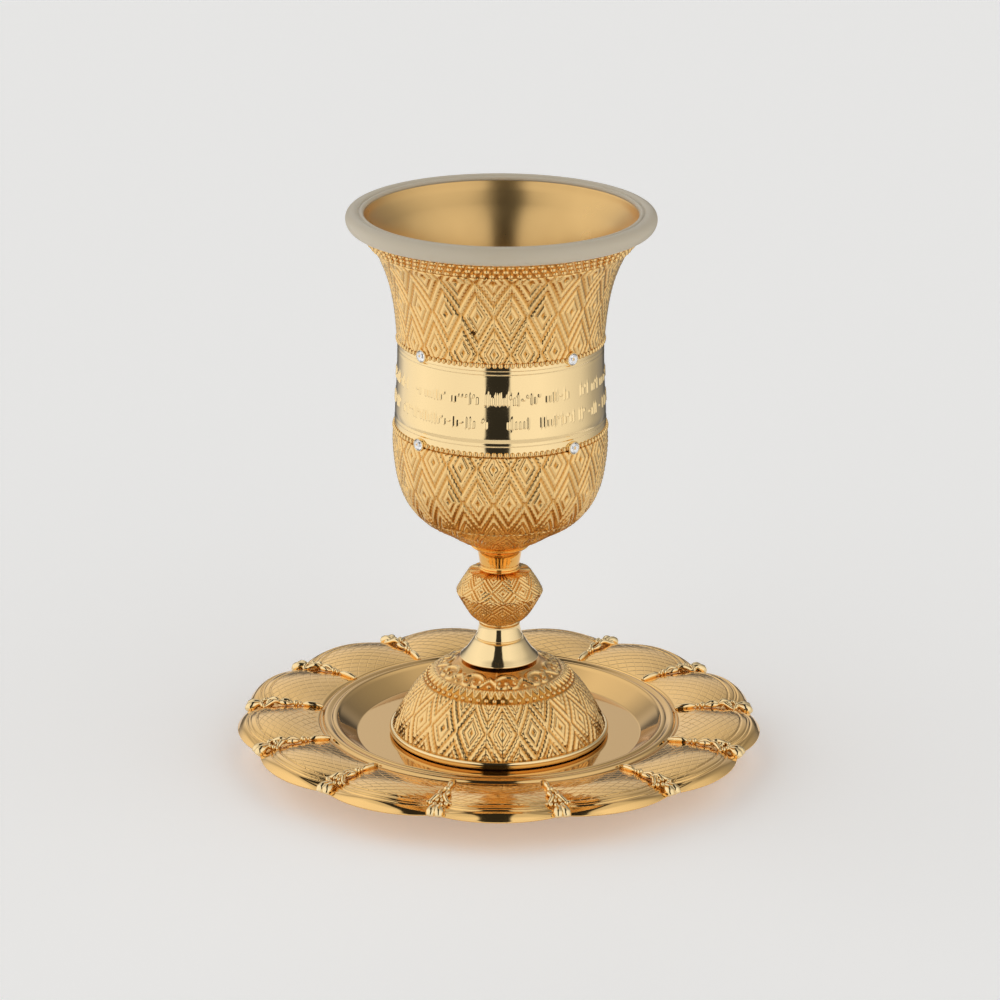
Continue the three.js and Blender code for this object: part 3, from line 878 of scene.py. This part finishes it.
def foot_skin():
    turns = turns_of(FOOT_DIAMONDS * 2 * FOOT_HALVES[0], FOOT_FIRST_DIAMOND)
    ends = 0.1, FOOT_LENGTH
    middle = FOOT_LENGTH - DIAMONDS_MIDDLE
    columns = np.arange(len(turns))
    lengths, relief, diagonals = diamond_grid(middle, FOOT_STEP, ends, columns, FOOT_HALVES)
    from_cone = FOOT_LENGTH - lengths
    radius = np.interp(lengths, foot_line["length"], foot_line["radius"])
    collar = np.maximum(scroll_relief(turns, from_cone, radius), tongue_relief(turns, from_cone))
    relief = np.where(from_cone < DIAMONDS_START, collar, relief)
    outside = spun(*on_line(foot_line, lengths, RELIEF * (relief - 1) + seam(turns)), turns)
    hollow = [(5, 24.2), (12, 22.8), (17, 20), (21.6, 15.5), (24.6, 10.5), (25.7, 8.2)]
    inside = plain_rows(hollow, turns)
    rising = np.vstack([np.ones(inside.shape[:2], bool), diagonals[:-1]])
    # The painted shade is lighter on the field under the scrolls than in the grooves between the
    # diamonds
    field = np.where(from_cone < TONGUES_START + 0.2, 0.27, GROOVE_SHADE_LIMIT)
    # The hollow's inside is coloured darker, as painted shade
    shades = np.vstack([np.full(inside.shape[:2], 0.3), np.maximum(relief, field)])
    return round_skin([*inside, *outside], rising=rising), shades


skin, relief = foot_skin()
make_piece("foot_dome", skin, embossed, ["foot"], raised=relief)

# %% Rolled edge and bead row of the foot
def rolled_edge():
    turns = turns_of(192)
    roll = [(27.75 + 0.55 * math.cos(a), 7.25 + 0.85 * math.sin(a))
            for a in np.radians(np.linspace(90, -60, 12))]
    under = [(28.0, CUP_BASE + 0.05), (27.8, CUP_BASE), (26.6, CUP_BASE), (26.2, 6.8), (25.8, 8.1)]
    return round_skin(plain_rows(roll + under, turns), closed=True)


make_piece("foot_edge", rolled_edge(), polished)
places = spun(*on_line(foot_line, FOOT_LENGTH - BEADS_AT, -0.4), turns_of(FOOT_BEADS, 3.0))
foot_beads = [bead(place, (0.62, 0.62, 0.62), sides=10, rings=6) for place in places]
make_piece("foot_beads", joined(foot_beads), embossed)

# %% [markdown]
# ## Stem and knop
#
# The stem is turned on a lathe: a cone with a groove above it, a short neck, the knop, and a
# second neck that opens into a flange under the bowl. A turned piece is round to a hundredth of
# a millimetre, so its mesh has many sides and its corners are rounded as a polishing wheel
# leaves them. The knop carries the diamonds again, eleven round, above and below its sharp
# waist.

# %% Turned pieces of the stem
def turned_skin(outline, samples):
    line = smooth_line(outline)
    radii, heights = on_line(line, np.linspace(0, line["length"][-1], samples))
    return round_skin(plain_rows(zip(radii, heights), turns_of(160)))


cone_outline = [
    (9.2, 26.6), (9.95, 26.65), (10.08, 26.85), (9.7, 27.3), (8.7, 28.35), (7.4, 30.15),
    (6.55, 31.45), (6.2, 31.75), (5.85, 31.85), (5.8, 31.98), (6.0, 32.15), (6.02, 32.4),
    (5.7, 33.2), (5.4, 34.4), (5.25, 35.5), (5.3, 36.1), (5.5, 36.5),
]
make_piece("stem_cone", turned_skin(cone_outline, 90), polished, ["lower_stem"])

neck_outline = [
    (5.3, 50.5), (5.45, 50.75), (5.4, 51.05), (5.1, 51.25), (5.05, 51.6), (5.15, 52.4), (5.4, 53.9),
    (5.7, 55.3), (6.05, 56.0), (6.75, 56.45), (7.4, 56.8), (7.6, 57.15),
]
make_piece("stem_neck", turned_skin(neck_outline, 60), neck_plate_painted_reflection, ["upper_stem"])

# %% Knop
KNOP_DIAMONDS = 11
KNOP_FIRST_DIAMOND = 5.0
KNOP_HALVES = (16, 21)
KNOP_STEP = 3.6 / KNOP_HALVES[1]
KNOP_MIDDLE = 47.1
knop_line = smooth_line([
    (5.95, 36.85), (7.6, 38.4), (9.5, 41.4), (10.9, 44.0), (11.14, 44.7), (10.75, 45.5), (9.4, 47.8),
    (8.0, 49.9), (7.6, 50.15),
])


def knop_skin():
    turns = turns_of(KNOP_DIAMONDS * 2 * KNOP_HALVES[0], KNOP_FIRST_DIAMOND)
    ends = 0.1, knop_line["length"][-1]
    middle = length_at(knop_line, KNOP_MIDDLE)
    columns = np.arange(len(turns))
    lengths, relief, diagonals = diamond_grid(middle, KNOP_STEP, ends, columns, KNOP_HALVES)
    outside = spun(*on_line(knop_line, lengths, RELIEF * (relief - 1)), turns)
    return round_skin(outside, rising=diagonals[:-1]), np.maximum(relief, GROOVE_SHADE_LIMIT)


skin, relief = knop_skin()
make_piece("knop_embossed", skin, embossed, ["knop"], raised=relief)

# %% [markdown]
# ## Liner and rim
#
# The liner is a thin cup of its own, spun from sheet on a lathe: a tool presses the turning
# metal over a form and leaves fine rings. Reflections smear across the rings, which draws the
# light into bright upright fans. The shader's anisotropy does that. Its direction is laid round
# the axis and then given a quarter turn, because the light has to smear up and down.

# %% Spun gold liner
def spun_gold():
    finish, shader = new_finish("spun gold", "#DDB678", 0.3)
    tree = finish.node_tree
    shader.inputs["Anisotropic"].default_value = 0.55
    shader.inputs["Anisotropic Rotation"].default_value = 0.25
    around = add_node(tree, "Tangent", {"direction_type": "RADIAL", "axis": "Z"})
    tree.links.new(around.outputs["Tangent"], shader.inputs["Tangent"])
    place = add_node(tree, "TexCoord")
    axes = add_node(tree, "SeparateXYZ", links={"Vector": place.outputs["Object"]})
    # Tool marks every 0.4 mm of height
    marks = add_node(tree, "TexNoise", {"noise_dimensions": "1D"},
                     {"Scale": 1000.0 / 0.4, "Detail": 3.0}, {"W": axes.outputs["Z"]})
    bump = add_node(tree, "Bump", {}, {"Strength": 0.3, "Distance": 0.00003}, {"Height": marks})
    tree.links.new(bump.outputs["Normal"], shader.inputs["Normal"])
    mottled(finish, shader, 0.26, 0.36, 12.0)
    return finish


spun_finish = spun_gold()
LINER_GAP = 0.5
LINER_WALL = 0.8


def liner_skin():
    lengths = np.array([length_at(sleeve_line, height) for height in np.linspace(70, 137, 40)])
    out = -(SLEEVE_WALL + LINER_GAP)
    outer = list(zip(*on_line(sleeve_line, lengths, out)))
    inner = list(zip(*on_line(sleeve_line, lengths[::-1], out - LINER_WALL)))
    lip = [(34.35, 141.1), (34.75, 142.4), (34.8, 143.6), (34.7, 143.9), (34.45, 143.9),
           (34.2, 143.2), (33.9, 142.2), (33.3, 141.0)]
    bottom_out = [(8, 64.35), (14, 65.0), (18.4, 66.6), (20.6, 68.6)]
    bottom_in = [(19.6, 69.2), (17.4, 67.4), (13.4, 66.1), (8, 65.3)]
    line = bottom_out + outer + lip + inner + bottom_in
    return round_skin(plain_rows(line, turns_of(144)))


make_piece("liner_spun", liner_skin(), spun_finish, ["liner"])

# %% [markdown]
# A milky ring of soft plastic closes the gap between sleeve and liner and is kind to the lips.
# Such a plastic lets some light in and scatters it under the skin, so it looks neither glossy
# nor chalky. A little subsurface scattering gives that, with a light path of about a
# millimetre.

# %% Milky ring
def milky_plastic():
    finish, shader = new_finish("milky soft plastic", "#CFC3AC", 0.27, metallic=0.0)
    shader.inputs["IOR"].default_value = 1.45
    shader.inputs["Subsurface Weight"].default_value = 0.35
    shader.inputs["Subsurface Radius"].default_value = (1.0, 0.85, 0.7)
    shader.inputs["Subsurface Scale"].default_value = 0.0012
    mottled(finish, shader, 0.3, 0.4, 15.0)
    return finish


RING_CENTRE = (36.82, 142.8)
RING_HALF_THICK = 2.0
RING_HANG = 1.27  # the lower half bulges further down than a circle would


def rim_skin():
    bulge = []
    for angle in np.radians(np.linspace(-110, 125, 30)):
        tall = RING_HALF_THICK * (RING_HANG if angle < 0 else 1.0)
        bulge.append((RING_CENTRE[0] + RING_HALF_THICK * math.cos(angle),
                      RING_CENTRE[1] + tall * math.sin(angle)))
    # A fold, and inside it a thin bead that grips the liner's lip
    lap = [(35.62, 144.3), (35.5, 144.22), (35.36, 144.36), (35.12, 144.54), (34.8, 144.56),
           (34.5, 144.42), (34.3, 144.14), (34.26, 143.8), (34.4, 143.5), (34.8, 143.3),
           (35.2, 143.2), (35.3, 141.7)]
    return round_skin(plain_rows(bulge + lap, turns_of(200)), closed=True)


make_piece("rim_soft_ring", rim_skin(), milky_plastic(), ["rim_ring"])

# %% [markdown]
# ## Stones
#
# Eight small clear stones sit in turned bezels on the bead rows. Such stones are cut glass with
# a foil behind them, which is why they look white rather than see-through. Each one is drawn as
# a real cut: a table, eight kite facets, a girdle and a pointed back, with flat faces, over a
# bright foil cup.

# %% Stone, foil and bezel
STONE_RADIUS = 1.42
STONE_OUT = 0.3  # how far a stone's own zero height stands out of the sleeve
STONES = [(height, turn) for height in BEAD_ROWS[::-1] for turn in turns_of(4, 42.0)]


def cut_glass():
    finish, shader = new_finish("cut glass", "#FFFFFF", 0.02, metallic=0.0)
    shader.inputs["IOR"].default_value = 1.54
    shader.inputs["Transmission Weight"].default_value = 1.0
    return finish


def silver_foil():
    finish, shader = new_finish("silver foil", "#FAFBFC", 0.35)
    mottled(finish, shader, 0.3, 0.45, 0.8)
    return finish


def in_setting(skin, height, turn):
    """A skin drawn with +Z up, set into the sleeve with +Z pointing outwards."""
    x, y, z = skin[0].T
    radius = on_line(sleeve_line, length_at(sleeve_line, height))[0] + STONE_OUT
    return set_round((np.stack([z + radius, x, y + height], -1), skin[1]), [turn])


def stone_skin():
    """A pointed back, a girdle, kites whose lower corners draw in, and a table."""
    kite = STONE_RADIUS * np.where(np.arange(16) % 2 == 0, 1.0, 0.93)
    outline = [(0.02, -0.12), (STONE_RADIUS, 0.22), (STONE_RADIUS, 0.3), (0.8 * kite, 0.47),
               (0.56 * kite, 0.6)]
    return round_skin(plain_rows(outline, turns_of(16)))


bezel = round_skin(plain_rows([
    (1.72, -0.8), (1.76, 0.1), (1.7, 0.26), (1.62, 0.32), (1.54, 0.28), (1.48, 0.2), (1.46, -0.2),
    (1.2, -0.26),
], turns_of(24)))
foil = round_skin(plain_rows([(1.43, -0.24), (1.45, 0.1), (1.4, 0.12), (0.3, -0.16)], turns_of(24)))
bezels = joined([in_setting(bezel, *stone) for stone in STONES])
make_piece("stone_bezels", bezels, polished)
foils = joined([in_setting(foil, *stone) for stone in STONES])
make_piece("stone_foils", foils, silver_foil())
glass = cut_glass()
for number, stone in enumerate(STONES, 1):
    make_piece(f"stone_cut_{number}", in_setting(stone_skin(), *stone), glass,
               [f"stone_{number}"], flat=True)

# %% [markdown]
# ## Floor, light and camera
#
# The cup was lit inside a white tent with a slot for the lens. The tent's two walls draw the
# broad bright fields on the metal, and the slot draws the dark line down the middle of every
# polished piece. The sky of the scene is that tent: bright to both sides, dark where the lens
# looks in, and dimmer behind. Its brightness depends only on the direction in the world, so it
# stays put when the camera moves.

# %% Floor
TABLE_RADIUS = 0.17  # the metal mirrors the floor only this far out, and the tent beyond


def pale_floor():
    bpy.ops.mesh.primitive_plane_add(size=8.0, location=(0, 0, 0))
    floor = bpy.context.object
    floor.name = "floor"
    finish, shader = new_finish("lit white acrylic", "#F4F3F1", 0.9, metallic=0.0)
    tree = finish.node_tree
    shader.inputs["Emission Color"].default_value = linear("#FFFFFF")
    shader.inputs["Emission Strength"].default_value = 0.22
    place = add_node(tree, "TexCoord")
    away = add_node(tree, "VectorMath", {"operation": "LENGTH"}, {}, {0: place.outputs["Object"]})
    on_table = add_node(tree, "Math", {"operation": "LESS_THAN"}, {1: TABLE_RADIUS}, {0: away})
    seen = add_node(tree, "LightPath")
    either = add_node(tree, "Math", {"operation": "MAXIMUM"}, {},
                      {0: on_table, 1: seen.outputs["Is Camera Ray"]})
    clear = add_node(tree, "BsdfTransparent")
    both = add_node(tree, "MixShader", links={0: either, 1: clear, 2: shader})
    tree.links.new(both.outputs["Shader"], tree.nodes["Material Output"].inputs["Surface"])
    floor.data.materials.append(finish)


pale_floor()

# %% Tent of light
# Brightness of the tent's walls by the turn from the lens, in degrees, positive to the right
TENT_WALLS = [
    (-180, 0.72), (-168, 0.9), (-158, 0.75), (-148, 0.5), (-135, 0.88), (-118, 1.0), (-95, 1.06),
    (-50, 0.98), (0, 1.0), (45, 1.04), (75, 0.92), (100, 0.76), (122, 0.45), (135, 0.36),
    (148, 0.26), (160, 0.42), (170, 0.6), (180, 0.72),
]
TENT_TOP = 0.72
SLOT_HALF_WIDTH = 0.215  # sine of the angle to either side
SLOT_CENTRE = -0.05  # a little to the left of the lens
SLOT_DARK = 0.03
BACK_FOOT = 0.8  # share of its light that the back wall loses near the table


def light_tent():
    world = bpy.data.worlds.new("light tent")
    bpy.context.scene.world = world
    world.use_nodes = True
    tree = world.node_tree
    tree.nodes.clear()
    place = add_node(tree, "TexCoord")
    axes = add_node(tree, "SeparateXYZ", links={"Vector": place.outputs["Generated"]}).outputs
    front = add_node(tree, "Math", {"operation": "MULTIPLY"}, {1: -1.0}, {0: axes["Y"]})
    turn = add_node(tree, "Math", {"operation": "ARCTAN2"}, {}, {0: axes["X"], 1: front})
    share = add_node(tree, "Math", {"operation": "MULTIPLY_ADD"}, {1: 0.5 / math.pi, 2: 0.5}, {0: turn})
    walls = add_node(tree, "ValToRGB", links={"Fac": share})
    stops = walls.color_ramp.elements
    for degrees, level in TENT_WALLS[1:-1]:
        stops.new(degrees / 360 + 0.5)
    for stop, (degrees, level) in zip(stops, TENT_WALLS):
        stop.color = (level, level, level, 1.0)
    # The back wall darkens towards the table
    smooth = {"interpolation_type": "SMOOTHSTEP"}
    behind = add_node(tree, "MapRange", smooth, {"From Min": 0.8, "From Max": 0.93},
                      {"Value": axes["Y"]})
    low = add_node(tree, "MapRange", smooth,
                   {"From Min": 0.1, "From Max": 0.28, "To Min": BACK_FOOT, "To Max": 0.0},
                   {"Value": axes["Z"]})
    lost = add_node(tree, "Math", {"operation": "MULTIPLY"}, {}, {0: behind, 1: low})
    kept = add_node(tree, "Math", {"operation": "SUBTRACT"}, {0: 1.0}, {1: lost})
    level = add_node(tree, "Math", {"operation": "MULTIPLY"}, {}, {0: walls, 1: kept})
    overhead = add_node(tree, "MapRange", smooth, {"From Min": 0.78, "From Max": 0.93},
                        {"Value": axes["Z"]})
    tent = add_node(tree, "Mix", {}, {"B": TENT_TOP}, {"Factor": overhead, "A": level})
    # The slot for the lens runs from below the table to high overhead
    moved = add_node(tree, "Math", {"operation": "SUBTRACT"}, {1: SLOT_CENTRE}, {0: axes["X"]})
    aside = add_node(tree, "Math", {"operation": "ABSOLUTE"}, {}, {0: moved})
    near = add_node(tree, "MapRange", smooth,
                    {"From Min": SLOT_HALF_WIDTH - 0.02, "From Max": SLOT_HALF_WIDTH + 0.03,
                     "To Min": 1.0, "To Max": 0.0}, {"Value": aside})
    ahead = add_node(tree, "MapRange", smooth, {"From Min": -0.75, "From Max": -0.5}, {"Value": front})
    slot = add_node(tree, "Math", {"operation": "MULTIPLY"}, {}, {0: near, 1: ahead})
    slotted = add_node(tree, "Mix", {}, {"B": SLOT_DARK}, {"Factor": slot, "A": tent})
    # Looked at straight, the tent is an even pale backdrop
    seen = add_node(tree, "LightPath")
    backdrop = add_node(tree, "Mix", {}, {"B": 0.9},
                        {"Factor": seen.outputs["Is Camera Ray"], "A": slotted})
    glow = add_node(tree, "Background", {}, {"Color": linear("#FFFFFF")}, {"Strength": backdrop})
    add_node(tree, "OutputWorld", links={"Surface": glow})


light_tent()
bpy.context.scene.view_settings.view_transform = "Standard"

# %% Camera, at the photograph's place
# Metres, degrees, and millimetres for the lens
CAMERA_DISTANCE = 1.0
CAMERA_HEIGHT = 0.40309
CAMERA_DOWN = 18.488
CAMERA_ROLL = 0.287
CAMERA_LENS = 149.41

lens = bpy.data.cameras.new("camera")
lens.lens = CAMERA_LENS
lens.sensor_width = 36.0
lens.sensor_fit = "HORIZONTAL"
lens.clip_start = 0.01
lens.clip_end = 50.0
camera = bpy.data.objects.new("camera", lens)
bpy.context.scene.collection.objects.link(camera)
tilt = Matrix.Rotation(math.radians(90 - CAMERA_DOWN), 4, "X")
roll = Matrix.Rotation(math.radians(CAMERA_ROLL), 4, "Z")
camera.matrix_world = Matrix.Translation((0, -CAMERA_DISTANCE, CAMERA_HEIGHT)) @ tilt @ roll
bpy.context.scene.camera = camera

# %% Measure and finish
print("triangles in all:", sum(made_triangles.values()))
